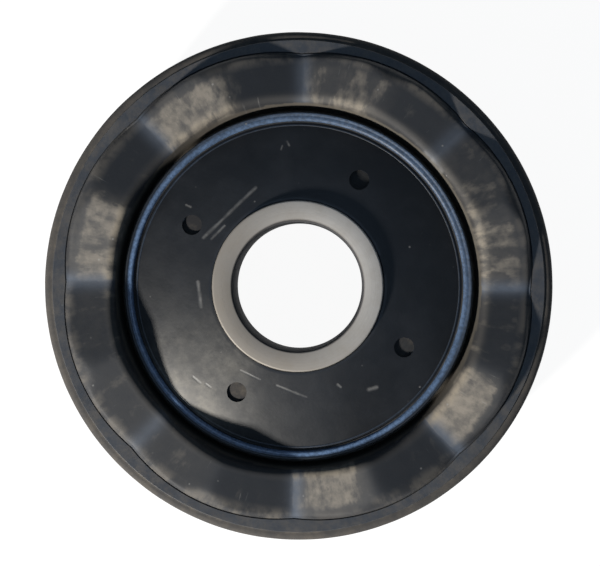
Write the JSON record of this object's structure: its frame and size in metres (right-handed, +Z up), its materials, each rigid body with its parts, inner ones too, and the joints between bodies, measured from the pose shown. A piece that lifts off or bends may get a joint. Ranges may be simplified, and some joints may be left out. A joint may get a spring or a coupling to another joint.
{
  "type": "rubber metal bush",
  "caption": "Round moulded rubber mount bonded to a steel sleeve, with a domed dish, a deep annular groove and a lobed crown inside a flat rim.",
  "frame": {"origin": "centre of the back, in the plane that the part rests on, on the axis of the bore", "axes": "+Z up the bore, from the flat back to the lobed side; +X and +Y across the part, with a lobe valley one degree below +X"},
  "size_m": [0.102, 0.102, 0.0248],
  "materials": {
    "rubber": "moulded, satin, lightly scuffed",
    "sleeve_steel": "turned, dull",
    "plate_steel": "matte, primed"
  },
  "bodies": {
    "root": {"rubber_body": "rubber", "inner_sleeve": "sleeve_steel", "insert_plate": "plate_steel"}
  },
  "joints": []
}
